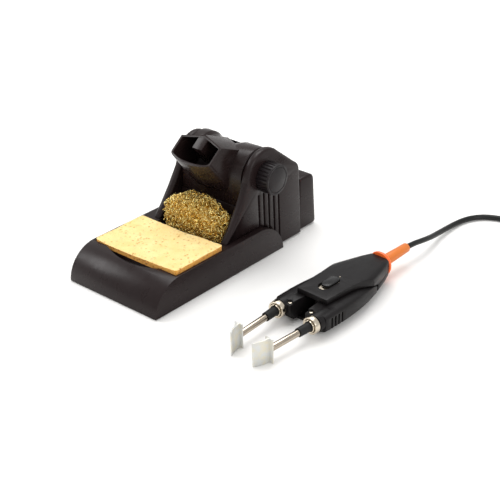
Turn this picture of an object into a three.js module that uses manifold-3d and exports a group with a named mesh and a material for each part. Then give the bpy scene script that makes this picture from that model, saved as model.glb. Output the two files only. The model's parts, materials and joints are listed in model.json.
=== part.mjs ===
// Work stand for a pair of hot tweezers, with the tweezers lying beside it. Millimetres, +Z up.
// The stand is drawn with its front left bottom corner at zero: X across, Y towards the back.
// The last lines move the whole scene so that the object's footprint is centred on the origin.
import * as THREE from 'three';
import { mergeVertices } from 'three/addons/utils/BufferGeometryUtils.js';
import Module from 'manifold-3d';

const wasm = await Module();
wasm.setup();

// ---------- driving dimensions ----------
const GAP = 0.3; // clearance between pieces that touch
const LIFT = 0.6; // underside of the mouldings above the table

const TRAY = { width: 97, length: 157.5, height: 28, frontRound: 28.5, rearRound: 31, floor: 8 };
const SPONGE = { margin: 3, front: 27, length: 55.5, thickness: 6, sunk: 3 };
const SCOOP = { left: 14, right: 80, depth: 8, fall: 4 }; // finger recess in front of the sponge
const WOOL = { length: 26, height: 50, clear: 0.9, divider: 2.5 };

const CHEEK = { leftInset: 10, rightInset: 5, thickness: 7, front: 88, lean: 5, edge: 2.4 };
const AXLE = { y: 139, z: 73, bolt: 6 }; // tilt axis of the tool holder
const AXLE_HOLE = AXLE.bolt + 2 * GAP;
const WASHER = { radius: 12, thickness: 0.8, gap: 0.4 };
const ARCH = { left: 20, right: 23.8, slope: 58 }; // rounded tops of the cheeks, around the axle
const HOUSING = { back: 189, corner: 180, cornerHeight: 71.5, wall: 3 };
const RIBS = { count: 5, first: 128.3, pitch: 6.4, width: 2.4, depth: 1.4, top: 58.8 };
const BOX = { length: 24, height: 50.5, side: 8.5, draft: 4.5, wall: 2.5, corner: 6, edge: 2 };

const DRUM = { radius: 22, ledge: 19.7, waist: 16.4, skirt: 49.5 };
const PANEL = { aboveTray: 3, thickness: 3.2 };
const SOCKET = { y: 96, z: 92, tilt: 38, half: 22, wall: 15.8, gable: 6.8, round: 5, thickness: 2.2 };
const POCKET = { depth: 33, roofDepth: 20 }; // inside of the socket
const TONGUE = { half: 5, bottom: 8.5, depth: 22 };

const KNOB = { radius: 13.3, depth: 12.3, flutes: 26, flute: 0.85, capRadius: 10.8, insert: 6 };
const FOOT = { radius: 6, inset: 14, height: 0.6 };

const TOOL = { x: 185.1, y: 19.4, z: 10.95, yaw: 2.5, pitch: 1.5 }; // front end of the tubes
const ARM = { front: 42, pivotX: 11, pivotY: 112, back: 119, inner: 7.6, innerBack: 3.2, barrel: 7.4, barrelX: 17.3 };
const BODY = { back: 145, coverFront: 59.5, coverHalf: 15, bottomFront: 54, belly: 12, floor: 9.6 };
const TIP = { height: 20.8, flange: 6.4, plate: 1, reach: 13, spread: 15, inward: 3.4 };
const TUBE = { radius: 2.75, sleeveRadius: 4, sleeveFront: 24.6, collarRadius: 7.3, collar: 4.6 };
const SLIDER = { y: 82, length: 17, width: 9, slot: 21.4 };
const DOT = { y: 94, radius: 0.6, hole: 0.9 };
const RELIEF = { ring: 7, ringRadius: 10.8, front: 4.8, back: 4, end: 182 };
const CORD = { diameter: 4.8, sides: 10 };

// ---------- materials ----------
const finish = (color, roughness, metalness = 0) => ({ color, roughness, metalness });
const BLACK = finish(0x2b2a2b, 0.42);
const SOFT_BLACK = finish(0x262524, 0.6);
const GLOSS_BLACK = finish(0x1d1c1d, 0.3);
const RUBBER = finish(0x1a1a1a, 0.85);
const STEEL = finish(0xb9b4ac, 0.25, 1);
const NICKEL = finish(0xcfc6b6, 0.22, 1);
const CAST = finish(0x4a4a4c, 0.7, 1);
const BRASS = finish(0xd8a93a, 0.35, 1);
const SILVER_TIP = finish(0xd9d8d2, 0.4, 1);
const SPONGE_YELLOW = finish(0xf3d27c, 0.95);
const ORANGE = finish(0xe8682a, 0.55);

// ---------- geometry helpers ----------
const rad = THREE.MathUtils.degToRad;

function mergeByPosition(geometry) {
  const bare = geometry.index ? geometry.toNonIndexed() : geometry.clone();
  bare.deleteAttribute('normal');
  bare.deleteAttribute('uv');
  return mergeVertices(bare, 1e-4);
}

function solid(geometry) {
  const merged = mergeByPosition(geometry);
  const vertProperties = new Float32Array(merged.attributes.position.array);
  const triVerts = new Uint32Array(merged.index.array);
  return new wasm.Manifold(new wasm.Mesh({ numProp: 3, vertProperties, triVerts }));
}

function fromSolid(manifold) {
  const mesh = manifold.getMesh();
  const geometry = new THREE.BufferGeometry();
  geometry.setAttribute('position', new THREE.BufferAttribute(mesh.vertProperties, 3));
  geometry.setIndex(new THREE.BufferAttribute(mesh.triVerts, 1));
  return geometry;
}

const union = (...geometries) => fromSolid(geometries.map(solid).reduce((a, b) => a.add(b)));
const cut = (base, ...tools) => fromSolid(tools.map(solid).reduce((a, b) => a.subtract(b), solid(base)));
const common = (...geometries) => fromSolid(geometries.map(solid).reduce((a, b) => a.intersect(b)));

// A closed outline of [x, y, radius] corners; the radius rounds that corner.
function outline(corners) {
  const shape = new THREE.Shape();
  corners.forEach(([x, y, radius = 0], i) => {
    const corner = new THREE.Vector2(x, y);
    const before = corners.at(i - 1);
    const after = corners[(i + 1) % corners.length];
    const toBefore = new THREE.Vector2(before[0] - x, before[1] - y);
    const toAfter = new THREE.Vector2(after[0] - x, after[1] - y);
    const start = corner.clone().addScaledVector(toBefore.normalize(), radius);
    const end = corner.clone().addScaledVector(toAfter.normalize(), radius);
    if (i === 0) shape.moveTo(start.x, start.y);
    else shape.lineTo(start.x, start.y);
    if (radius) shape.quadraticCurveTo(x, y, end.x, end.y);
  });
  shape.closePath();
  return shape;
}

const extrude = (shape, depth, options = {}) =>
  new THREE.ExtrudeGeometry(shape, { depth, bevelEnabled: false, curveSegments: 6, ...options });

// Turns a shape drawn in (x, y) and pulled along z into a side view pulled along x.
const onItsSide = new THREE.Matrix4().makeBasis(
  new THREE.Vector3(0, 1, 0),
  new THREE.Vector3(0, 0, 1),
  new THREE.Vector3(1, 0, 0),
);

// A side view in (y, z) pulled across from x0 to x1.
function sideways(shape, x0, x1, options) {
  return extrude(shape, x1 - x0, options).applyMatrix4(onItsSide).translate(x0, 0, 0);
}

// A top view in (x, y) pulled up from z0 to z1.
const upwards = (shape, z0, z1, options) => extrude(shape, z1 - z0, options).translate(0, 0, z0);

// The same, with its edges rounded over on both ends.
function softened(shape, length, edge, segments = 2) {
  const bevel = { bevelEnabled: true, bevelThickness: edge, bevelSize: edge, bevelOffset: -edge };
  return extrude(shape, length - 2 * edge, { ...bevel, bevelSegments: segments }).translate(0, 0, edge);
}

const block = (x0, x1, y0, y1, z0, z1) =>
  new THREE.BoxGeometry(x1 - x0, y1 - y0, z1 - z0).translate((x0 + x1) / 2, (y0 + y1) / 2, (z0 + z1) / 2);

const alongX = (radius, x0, x1, y, z, sides = 32) =>
  new THREE.CylinderGeometry(radius, radius, x1 - x0, sides).rotateZ(rad(90)).translate((x0 + x1) / 2, y, z);

const alongY = (front, back, y0, y1, x = 0, z = 0, sides = 24) =>
  new THREE.CylinderGeometry(back, front, y1 - y0, sides).translate(x, (y0 + y1) / 2, z);

const alongZ = (radius, z0, z1, x, y, sides = 20) =>
  new THREE.CylinderGeometry(radius, radius, z1 - z0, sides).rotateX(rad(90)).translate(x, y, (z0 + z1) / 2);

const stand = new THREE.Group();
const tool = new THREE.Group();
const lead = new THREE.Group();

function piece(group, name, geometry, look) {
  const mesh = new THREE.Mesh(geometry, new THREE.MeshStandardMaterial(look));
  mesh.name = name;
  group.add(mesh);
  return mesh;
}

// ---------- tray ----------
const sponge = {
  x0: SPONGE.margin,
  x1: TRAY.width - SPONGE.margin,
  y0: SPONGE.front,
  y1: SPONGE.front + SPONGE.length,
  z0: TRAY.height - SPONGE.sunk,
};

const axle = new THREE.Vector2(AXLE.y, AXLE.z);
const cheek = {
  leftOut: CHEEK.leftInset,
  leftIn: CHEEK.leftInset + CHEEK.thickness,
  rightIn: TRAY.width - CHEEK.rightInset - CHEEK.thickness,
  rightOut: TRAY.width - CHEEK.rightInset,
};
const inside = { x0: cheek.leftIn + GAP, x1: cheek.rightIn - GAP };
const wool = { x0: cheek.leftIn + WOOL.clear, x1: cheek.rightIn - WOOL.clear, y0: sponge.y1 + WOOL.divider };
wool.y1 = wool.y0 + WOOL.length;
wool.z0 = TRAY.floor + 3;
wool.z1 = wool.z0 + WOOL.height;
const middle = TRAY.width / 2;

// Centre and radius of the round at the back of the tray, which the housing sits against.
const rear = { y: TRAY.length - TRAY.rearRound, z: TRAY.height - TRAY.rearRound, r: TRAY.rearRound };

function trayProfile() {
  const shape = new THREE.Shape();
  shape.moveTo(0, LIFT);
  shape.absellipse(TRAY.frontRound, LIFT, TRAY.frontRound, TRAY.height - LIFT, Math.PI, Math.PI / 2, true);
  shape.lineTo(rear.y, TRAY.height);
  shape.absarc(rear.y, rear.z, rear.r, Math.PI / 2, Math.asin((LIFT - rear.z) / rear.r), true);
  shape.closePath();
  return shape;
}

function scoopTool() {
  const lens = new THREE.Shape();
  lens.moveTo(SCOOP.left, sponge.y0 + 1);
  lens.quadraticCurveTo(middle, sponge.y0 - 2 * SCOOP.depth, SCOOP.right, sponge.y0 + 1);
  lens.closePath();
  const low = TRAY.height - SPONGE.sunk - SCOOP.fall;
  const wedge = outline([
    [sponge.y0 - SCOOP.depth - 2, low + SCOOP.fall - 1.5],
    [sponge.y0 + 1, low],
    [sponge.y0 + 1, TRAY.height + 2],
    [sponge.y0 - SCOOP.depth - 2, TRAY.height + 2],
  ]);
  return common(upwards(lens, 0, TRAY.height + 2, { curveSegments: 14 }), sideways(wedge, 0, TRAY.width));
}

function baseTray() {
  const body = sideways(trayProfile(), 0, TRAY.width, { curveSegments: 14 });
  const well = block(
    sponge.x0 - GAP, sponge.x1 + GAP, sponge.y0 - GAP, sponge.y1 + GAP, sponge.z0 - GAP, TRAY.height + 1,
  );
  const woolWell = block(
    cheek.leftIn + 0.5, cheek.rightIn - 0.5, sponge.y1 + GAP + 1.6, rear.y - 8, TRAY.floor, TRAY.height + 1,
  );
  const under = block(6, TRAY.width - 6, 9, TRAY.length - 9, LIFT - 1, LIFT + 1.7);
  return cut(body, well, woolWell, scoopTool(), under);
}

piece(stand, 'base_tray', baseTray(), BLACK);
const plate = block(6 + GAP, TRAY.width - 6 - GAP, 9 + GAP, TRAY.length - 9 - GAP, LIFT + GAP, LIFT + 1.4);
piece(stand, 'base_plate', plate, STEEL);

const feet = {
  foot_front_left: [FOOT.inset, FOOT.inset + 3],
  foot_front_right: [TRAY.width - FOOT.inset, FOOT.inset + 3],
  foot_rear_left: [FOOT.inset, TRAY.length - FOOT.inset - 3],
  foot_rear_right: [TRAY.width - FOOT.inset, TRAY.length - FOOT.inset - 3],
};
for (const [name, [x, y]] of Object.entries(feet)) {
  piece(stand, name, alongZ(FOOT.radius, 0, FOOT.height, x, y), RUBBER);
}

// ---------- housing ----------
// Side view of a cheek: a hollow front edge, an arch of radius r over the axle, a straight slope.
function cheekProfile(r) {
  const { y, z } = { y: axle.x, z: axle.y };
  const slope = rad(ARCH.slope); // direction of the arch's point where the straight slope begins
  const shape = new THREE.Shape();
  shape.moveTo(CHEEK.front, TRAY.height + GAP);
  shape.quadraticCurveTo(y - 29, z - 17, y - r, z + 1);
  shape.absarc(y, z, r, Math.PI, slope, true);
  const corner = new THREE.Vector2(HOUSING.corner, HOUSING.cornerHeight);
  shape.lineTo(corner.x - 2, corner.y + 1.3);
  shape.quadraticCurveTo(HOUSING.back - CHEEK.lean, corner.y - 2, HOUSING.back - CHEEK.lean + 0.4, corner.y - 7);
  shape.lineTo(HOUSING.back, LIFT);
  shape.lineTo(rear.y + Math.sqrt((rear.r + GAP) ** 2 - (LIFT - rear.z) ** 2), LIFT);
  shape.absarc(rear.y, rear.z, rear.r + GAP, Math.asin((LIFT - rear.z) / (rear.r + GAP)), Math.PI / 2, false);
  shape.closePath();
  return shape;
}

function cheekPlate(x0, archRadius) {
  const flat = softened(cheekProfile(archRadius), CHEEK.thickness, CHEEK.edge, 3);
  const body = flat.applyMatrix4(onItsSide).translate(x0, 0, 0);
  return cut(body, alongX(AXLE_HOLE / 2, x0 - 1, x0 + CHEEK.thickness + 1, axle.x, axle.y, 24));
}

// Upright grooves in the right cheek, under the knob, leaning back with the cheek's rear edge.
function ribGrooves() {
  const tools = [];
  for (let i = 0; i < RIBS.count; i += 1) {
    const y = RIBS.first + i * RIBS.pitch;
    const groove = outline([
      [y, RIBS.top],
      [y + RIBS.width, RIBS.top],
      [y + RIBS.width + CHEEK.lean * 0.7, 3],
      [y + CHEEK.lean * 0.7, 3],
    ]);
    tools.push(sideways(groove, cheek.rightOut - RIBS.depth, cheek.rightOut + 1));
  }
  return tools;
}

piece(stand, 'left_cheek', cheekPlate(cheek.leftOut, ARCH.left), BLACK);
piece(stand, 'right_cheek', cut(cheekPlate(cheek.rightIn, ARCH.right), ...ribGrooves()), BLACK);

// Roof, back wall and floor between the cheeks, open towards the holder.
function housingBack() {
  const outer = sideways(cheekProfile(ARCH.left), inside.x0, inside.x1);
  const hollow = outline([
    [CHEEK.front - 10, 140],
    [CHEEK.front - 10, TRAY.height + HOUSING.wall],
    [HOUSING.back - HOUSING.wall - 1, TRAY.height + HOUSING.wall],
    [HOUSING.back - HOUSING.wall - CHEEK.lean, HOUSING.cornerHeight - 7],
    [AXLE.y + 16, AXLE.z + 18],
    [AXLE.y + 4, 140],
  ]);
  const swing = alongX(DRUM.radius + 3.4, 0, TRAY.width, axle.x, axle.y, 40);
  const front = block(0, TRAY.width, CHEEK.front - 20, rear.y - 7, 0, 140);
  const trimmed = cut(outer, sideways(hollow, 0, TRAY.width), swing, front);
  return cut(trimmed, block(0, TRAY.width, rear.y - 8, AXLE.y + 8, AXLE.z, 140));
}
piece(stand, 'housing_back', housingBack(), BLACK);

// Curved front wall that closes the gap under the holder, behind the wool.
const panelFront = AXLE.y - DRUM.radius - 0.6;
const panelProfile = outline([
  [panelFront - 3.4, TRAY.height + PANEL.aboveTray],
  [panelFront, DRUM.skirt - GAP * 2],
  [panelFront + PANEL.thickness, DRUM.skirt - GAP * 2],
  [panelFront + PANEL.thickness - 2.6, TRAY.height + PANEL.aboveTray],
]);
piece(stand, 'front_panel', sideways(panelProfile, inside.x0, inside.x1), BLACK);

// Lower box behind the housing, which holds the weight.
function rearBox() {
  const y0 = HOUSING.back + GAP + 0.5;
  const y1 = y0 + BOX.length;
  const profile = outline([
    [y0, LIFT],
    [y1, LIFT, 4],
    [y1 - BOX.draft, BOX.height, BOX.corner],
    [y0, BOX.height],
  ]);
  const width = TRAY.width - 2 * BOX.side;
  const body = softened(profile, width, BOX.edge, 3).applyMatrix4(onItsSide).translate(BOX.side, 0, 0);
  const room = block(
    BOX.side + BOX.wall + 2, TRAY.width - BOX.side - BOX.wall - 2,
    y0 + BOX.wall, y1 - BOX.draft - BOX.wall, LIFT - 2, BOX.height - BOX.wall,
  );
  return { shell: cut(body, room), y0, y1 };
}
const box = rearBox();
piece(stand, 'rear_box', box.shell, BLACK);
const weight = block(
  BOX.side + BOX.wall + 2.5, TRAY.width - BOX.side - BOX.wall - 2.5,
  box.y0 + BOX.wall + 0.5, box.y1 - BOX.draft - BOX.wall - 0.5, LIFT + 1, BOX.height - BOX.wall - 1,
);
piece(stand, 'ballast_weight', weight, CAST);

// ---------- tilt clamp ----------
const drumX0 = cheek.leftIn + WASHER.thickness + 2 * WASHER.gap;
const drumX1 = cheek.rightIn - WASHER.thickness - 2 * WASHER.gap;
const ring = (radius, hole, x0, x1, sides = 32) =>
  cut(alongX(radius, x0, x1, axle.x, axle.y, sides), alongX(hole, x0 - 1, x1 + 1, axle.x, axle.y, sides));
const leftWasherX = cheek.leftIn + WASHER.gap;
const rightWasherX = cheek.rightIn - WASHER.gap;
piece(
  stand, 'left_washer',
  ring(WASHER.radius, AXLE_HOLE / 2, leftWasherX, leftWasherX + WASHER.thickness), STEEL,
);
piece(
  stand, 'right_washer',
  ring(WASHER.radius, AXLE_HOLE / 2, rightWasherX - WASHER.thickness, rightWasherX), STEEL,
);

const knobFace = cheek.rightOut + KNOB.depth;
const boltEnd = knobFace - 4;
const boltHead = alongX(6, cheek.leftOut - 3.3, cheek.leftOut - GAP, axle.x, axle.y, 24);
const boltShank = alongX(AXLE.bolt / 2, cheek.leftOut - 1, boltEnd, axle.x, axle.y, 24);
piece(stand, 'clamp_bolt', union(boltHead, boltShank), STEEL);

function knobBody() {
  const x0 = cheek.rightOut + GAP;
  let body = solid(alongX(KNOB.radius, x0, knobFace, axle.x, axle.y, 54));
  for (let i = 0; i < KNOB.flutes; i += 1) {
    const angle = (i * 2 * Math.PI) / KNOB.flutes;
    const y = axle.x + Math.cos(angle) * (KNOB.radius + 0.3);
    const z = axle.y + Math.sin(angle) * (KNOB.radius + 0.3);
    body = body.subtract(solid(alongX(KNOB.flute, x0 - 1, knobFace - 1.4, y, z, 8)));
  }
  const seat = alongX(KNOB.capRadius + GAP, knobFace - 0.9, knobFace + 1, axle.x, axle.y, 40);
  const bore = alongX(KNOB.insert + GAP, x0 - 1, boltEnd + 0.8, axle.x, axle.y, 32);
  return cut(fromSolid(body), seat, bore);
}
piece(stand, 'clamp_knob', knobBody(), SOFT_BLACK);
piece(stand, 'knob_cap', alongX(KNOB.capRadius, knobFace - 0.6, knobFace + 0.1, axle.x, axle.y, 40), BLACK);
const insertX = [cheek.rightOut + GAP, boltEnd + 0.4];
piece(stand, 'knob_insert', ring(KNOB.insert, AXLE_HOLE / 2, ...insertX), BRASS);

// ---------- tool holder ----------
// Outline of the socket's mouth in its own plane, drawn a wall's thickness smaller when inset.
function mouth(inset) {
  const half = SOCKET.half - inset;
  const shape = new THREE.Shape();
  shape.moveTo(half, 0);
  shape.lineTo(half, SOCKET.wall - inset * 0.6);
  shape.lineTo(0, SOCKET.wall + SOCKET.gable - inset * 1.1);
  shape.lineTo(-half, SOCKET.wall - inset * 0.6);
  shape.lineTo(-half, 0);
  shape.absellipse(0, 0, half, SOCKET.round - inset + 2, Math.PI, 2 * Math.PI, false);
  shape.closePath();
  return shape;
}

// Sweeps a mouth outline from the mouth plane backwards, along a line that falls by `fall` degrees.
function sweptBack(shape, depth, fall, start = 0) {
  const up = new THREE.Vector3(0, Math.cos(rad(SOCKET.tilt)), Math.sin(rad(SOCKET.tilt)));
  const back = new THREE.Vector3(0, Math.cos(rad(fall)), -Math.sin(rad(fall)));
  const frame = new THREE.Matrix4().makeBasis(new THREE.Vector3(1, 0, 0), up, back);
  const geometry = extrude(shape, depth, { curveSegments: 10 }).translate(0, 0, -start).applyMatrix4(frame);
  if (frame.determinant() < 0) {
    for (let i = 0; i < geometry.attributes.position.count; i += 3) {
      const a = new THREE.Vector3().fromBufferAttribute(geometry.attributes.position, i);
      const b = new THREE.Vector3().fromBufferAttribute(geometry.attributes.position, i + 1);
      geometry.attributes.position.setXYZ(i, b.x, b.y, b.z);
      geometry.attributes.position.setXYZ(i + 1, a.x, a.y, a.z);
    }
  }
  return geometry.translate(middle, SOCKET.y, SOCKET.z);
}

function holder() {
  const axisFall = 90 - SOCKET.tilt; // along the socket
  const roofFall = 22; // along the roof and the tops of the side walls
  const drumProfile = [
    [0, drumX0],
    [DRUM.radius - 1, drumX0],
    [DRUM.radius, drumX0 + 1],
    [DRUM.radius, middle - 20.5],
    [DRUM.ledge, middle - 18],
    [DRUM.waist + 1.2, middle - 3.5],
    [DRUM.waist, middle - 0.5],
    [DRUM.waist + 0.4, middle + 3.5],
    [DRUM.ledge, middle + 10.5],
    [DRUM.radius - 0.4, middle + 16],
    [DRUM.radius, drumX1 - 1],
    [DRUM.radius - 1, drumX1],
    [0, drumX1],
  ].map(([r, x]) => new THREE.Vector2(r, x));
  const drum = new THREE.LatheGeometry(drumProfile, 40).rotateZ(rad(-90)).translate(0, axle.x, axle.y);
  const skirt = new THREE.Shape();
  skirt.moveTo(axle.x, axle.y);
  skirt.absarc(axle.x, axle.y, DRUM.radius, rad(150), Math.PI, false);
  skirt.lineTo(axle.x - DRUM.radius - 0.6, DRUM.skirt);
  skirt.lineTo(axle.x - DRUM.radius + 2.6, DRUM.skirt);
  skirt.lineTo(axle.x - DRUM.waist + 3, axle.y - 10);
  skirt.closePath();
  const body = union(
    drum,
    sideways(skirt, drumX0, drumX1, { curveSegments: 12 }),
    sweptBack(mouth(0), 36, axisFall),
    sweptBack(mouth(0), 30, roofFall),
  );
  const pocket = union(
    sweptBack(mouth(SOCKET.thickness), POCKET.depth + 2, axisFall, 2),
    sweptBack(mouth(SOCKET.thickness), POCKET.roofDepth + 2, roofFall, 2),
  );
  const hollowed = cut(body, pocket, alongX(AXLE_HOLE / 2, 0, TRAY.width, axle.x, axle.y, 24));
  const bar = outline([
    [-TONGUE.half, TONGUE.bottom],
    [TONGUE.half, TONGUE.bottom],
    [TONGUE.half, SOCKET.wall + SOCKET.gable * 0.72],
    [-TONGUE.half, SOCKET.wall + SOCKET.gable * 0.72],
  ]);
  return union(hollowed, sweptBack(bar, TONGUE.depth, axisFall, -0.2));
}
piece(stand, 'tool_holder', holder(), BLACK);

// ---------- cleaning pads ----------
const pad = outline([
  [sponge.x0, sponge.y0, 1],
  [sponge.x1, sponge.y0, 1],
  [sponge.x1, sponge.y1, 1],
  [sponge.x0, sponge.y1, 1],
]);
piece(stand, 'sponge', upwards(pad, sponge.z0, sponge.z0 + SPONGE.thickness), SPONGE_YELLOW);

// A plump squared-off ball: a sphere whose coordinates are pushed outwards.
function plumpBall() {
  const geometry = new THREE.SphereGeometry(1, 16, 10);
  const position = geometry.attributes.position;
  const push = (value) => Math.sign(value) * Math.abs(value) ** 0.72;
  for (let i = 0; i < position.count; i += 1) {
    const p = new THREE.Vector3().fromBufferAttribute(position, i);
    position.setXYZ(i, push(p.x), push(p.y), push(p.z));
  }
  geometry.computeBoundingBox();
  const size = geometry.boundingBox.getSize(new THREE.Vector3());
  return geometry.scale((wool.x1 - wool.x0) / size.x, WOOL.length / size.y, WOOL.height / size.z).translate(
    (wool.x0 + wool.x1) / 2, (wool.y0 + wool.y1) / 2, (wool.z0 + wool.z1) / 2,
  );
}
piece(stand, 'brass_wool', plumpBall(), BRASS);

// ---------- hand tool: drawn along Y, its tubes starting at y = 0 ----------
// Half width, top and bottom of the handle along its length.
const handle = [
  { y: 42, half: 24.6, top: 7.6, bottom: 8.6 },
  { y: 50, half: 25, top: 7.8, bottom: 9.2 },
  { y: 62, half: 25.3, top: 8, bottom: 9.4 },
  { y: 76, half: 25.2, top: 8, bottom: 9.4 },
  { y: 90, half: 24.2, top: 8, bottom: 9.4 },
  { y: 102, half: 22.4, top: 7.6, bottom: 9.3 },
  { y: 114, half: 19.4, top: 6.8, bottom: 9.2 },
  { y: 126, half: 16, top: 6, bottom: 9 },
  { y: 137, half: 12.8, top: 6, bottom: 9 },
  { y: 146, half: 9.4, top: 6, bottom: 9 },
];

function handleAt(y) {
  const i = Math.max(1, handle.findIndex((s) => s.y >= y));
  const [a, b] = [handle[i - 1], handle[i]];
  const t = (y - a.y) / (b.y - a.y);
  const mix = (key) => a[key] + (b[key] - a[key]) * t;
  return { half: mix('half'), top: mix('top'), bottom: mix('bottom') };
}

// A soft-cornered bar that follows the handle's outline from y0 to y1, between two heights.
function handleBar(y0, y1, heights) {
  const corner = 0.42;
  const section = outline([
    [-1, -1, corner],
    [1, -1, corner],
    [1, 1, corner],
    [-1, 1, corner],
  ]);
  const steps = Math.max(2, Math.round((y1 - y0) / 8));
  const geometry = extrude(section, 1, { steps, curveSegments: 4 });
  const position = geometry.attributes.position;
  for (let i = 0; i < position.count; i += 1) {
    const y = y0 + (1 - position.getZ(i)) * (y1 - y0);
    const at = handleAt(y);
    const { top, bottom } = heights(y, at);
    const z = (top - bottom) / 2 + (position.getY(i) * (top + bottom)) / 2;
    position.setXYZ(i, position.getX(i) * at.half, y, z);
  }
  return geometry;
}

// The slider's slot: the button rests at its back end and slides forwards.
const slotFloor = 9.4;
const slotY = SLIDER.y - (SLIDER.slot - SLIDER.length) / 2 + 0.5;

// Underside of the top cover: level over the arms, then falling to the parting line.
const coverEdge = [
  [BODY.coverFront, 7.2],
  [96, 5.6],
  [112, 2.2],
  [122, -1.8],
  [BODY.back, -1.8],
];
const partingLine = -1.8;

function topCover() {
  const crown = (y, at) => ({ top: 11.4 - 3.7 * Math.max(0, (y - 80) / 65) ** 1.5, bottom: at.bottom });
  const bar = handleBar(BODY.coverFront - 10, BODY.back, crown);
  const flank = [
    [BODY.coverHalf + 0.3, 75],
    [BODY.coverHalf + 1, 90],
    [BODY.coverHalf + 2.2, 100],
    [BODY.coverHalf + 3.6, 108],
    [BODY.coverHalf + 5.6, 115],
    [30, 120],
    [30, BODY.back + 1],
  ];
  const view = outline([
    [-BODY.coverHalf, BODY.coverFront, 1],
    [BODY.coverHalf, BODY.coverFront, 1],
    ...flank,
    ...flank.map(([x, y]) => [-x, y]).reverse(),
  ]);
  const above = outline([...coverEdge, [BODY.back, 30], [BODY.coverFront, 30]]);
  const shell = common(bar, upwards(view, -20, 30), sideways(above, -40, 40));
  const slot = capsule(SLIDER.slot, SLIDER.width + 1).translate(0, slotY, slotFloor);
  return cut(shell, slot, dotHole(), ...pinHoles(-4, 6));
}

// A flat pill shape lying along Y, 10 high, standing on z = 0.
function capsule(length, width, height = 10) {
  const half = length / 2 - width / 2;
  const shape = new THREE.Shape();
  shape.absarc(0, half, width / 2, 0, Math.PI, false);
  shape.absarc(0, -half, width / 2, Math.PI, 2 * Math.PI, false);
  shape.closePath();
  return upwards(shape, 0, height, { curveSegments: 8 });
}

const dotHole = () => alongZ(DOT.hole, 9, 20, 0, DOT.y, 12);
const pinHoles = (z0, z1) => [-1, 1].map((s) => alongZ(1.8, z0, z1, s * ARM.pivotX, ARM.pivotY, 16));

function bottomCover() {
  const belly = (y, at) => ({ top: 12, bottom: BODY.belly - Math.max(0, (y - 70) / 76) ** 2 * 3 });
  const bar = handleBar(BODY.bottomFront - 6, BODY.back, belly);
  const view = outline([
    [-13, BODY.bottomFront, 3],
    [13, BODY.bottomFront, 3],
    [16, 70],
    [16, 100],
    [30, 122],
    [30, BODY.back + 1],
    [-30, BODY.back + 1],
    [-30, 122],
    [-16, 100],
    [-16, 70],
  ]);
  const below = outline([
    [BODY.bottomFront - 1, -30],
    [BODY.back + 1, -30],
    [BODY.back + 1, partingLine - GAP],
    [ARM.back + 2.4, partingLine - GAP],
    [ARM.back + 2.4, -BODY.floor],
    [BODY.bottomFront - 1, -BODY.floor],
  ]);
  const tub = common(bar, upwards(view, -30, 20), sideways(below, -40, 40));
  const spine = block(-2, 2, 66, 104, -BODY.floor - 0.6, 2.4);
  return cut(union(tub, spine), ...pinHoles(-BODY.floor - 1, -BODY.floor + 1));
}

function gripArm(side) {
  const heights = (y, at) => {
    const edge = coverEdgeAt(y);
    return { top: Math.min(at.top, edge - GAP - 0.1), bottom: at.bottom };
  };
  const bar = handleBar(ARM.front + 5, ARM.back, heights);
  const plan = outline([
    [side * ARM.inner, ARM.front + 5],
    [side * 40, ARM.front + 5],
    [side * 40, ARM.back],
    [side * ARM.innerBack, ARM.back],
    [side * ARM.innerBack, ARM.pivotY - 8],
  ]);
  const grip = common(bar, upwards(plan, -20, 20));
  const barrel = alongY(ARM.barrel, ARM.barrel, ARM.front, ARM.front + 14, side * ARM.barrelX, 0, 28);
  const lug = block(
    Math.min(side * ARM.inner, side * ARM.barrelX), Math.max(side * ARM.inner, side * ARM.barrelX),
    ARM.front + 1.2, ARM.front + 16, -5.4, 5,
  );
  const screwSeat = alongZ(1.9, 4.4, 12, side * (ARM.inner + 2.9), ARM.front + 4.6, 14);
  const pinBore = alongZ(1.8, -30, 30, side * ARM.pivotX, ARM.pivotY, 16);
  const bore = alongY(TUBE.sleeveRadius + 0.6, TUBE.sleeveRadius + 0.6, ARM.front - 2, ARM.front + 10, side * ARM.barrelX);
  return cut(union(grip, barrel, lug), screwSeat, pinBore, bore, ...gripGrooves(side));
}

function coverEdgeAt(y) {
  const i = Math.max(1, coverEdge.findIndex((p) => p[0] >= y));
  const [a, b] = [coverEdge[i - 1], coverEdge[i]];
  const t = Math.max(0, (y - a[0]) / (b[0] - a[0]));
  return a[1] + (b[1] - a[1]) * t;
}

function gripGrooves(side) {
  return [0, 1, 2, 3].map((i) => {
    const y = ARM.front + 12 + i * 4;
    const x = side * (handleAt(y).half + 0.4);
    return block(x - 1.7, x + 1.7, y - 0.9, y + 0.9, -12, 2.5);
  });
}

piece(tool, 'top_cover', topCover(), SOFT_BLACK);
piece(tool, 'bottom_cover', bottomCover(), SOFT_BLACK);

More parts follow.
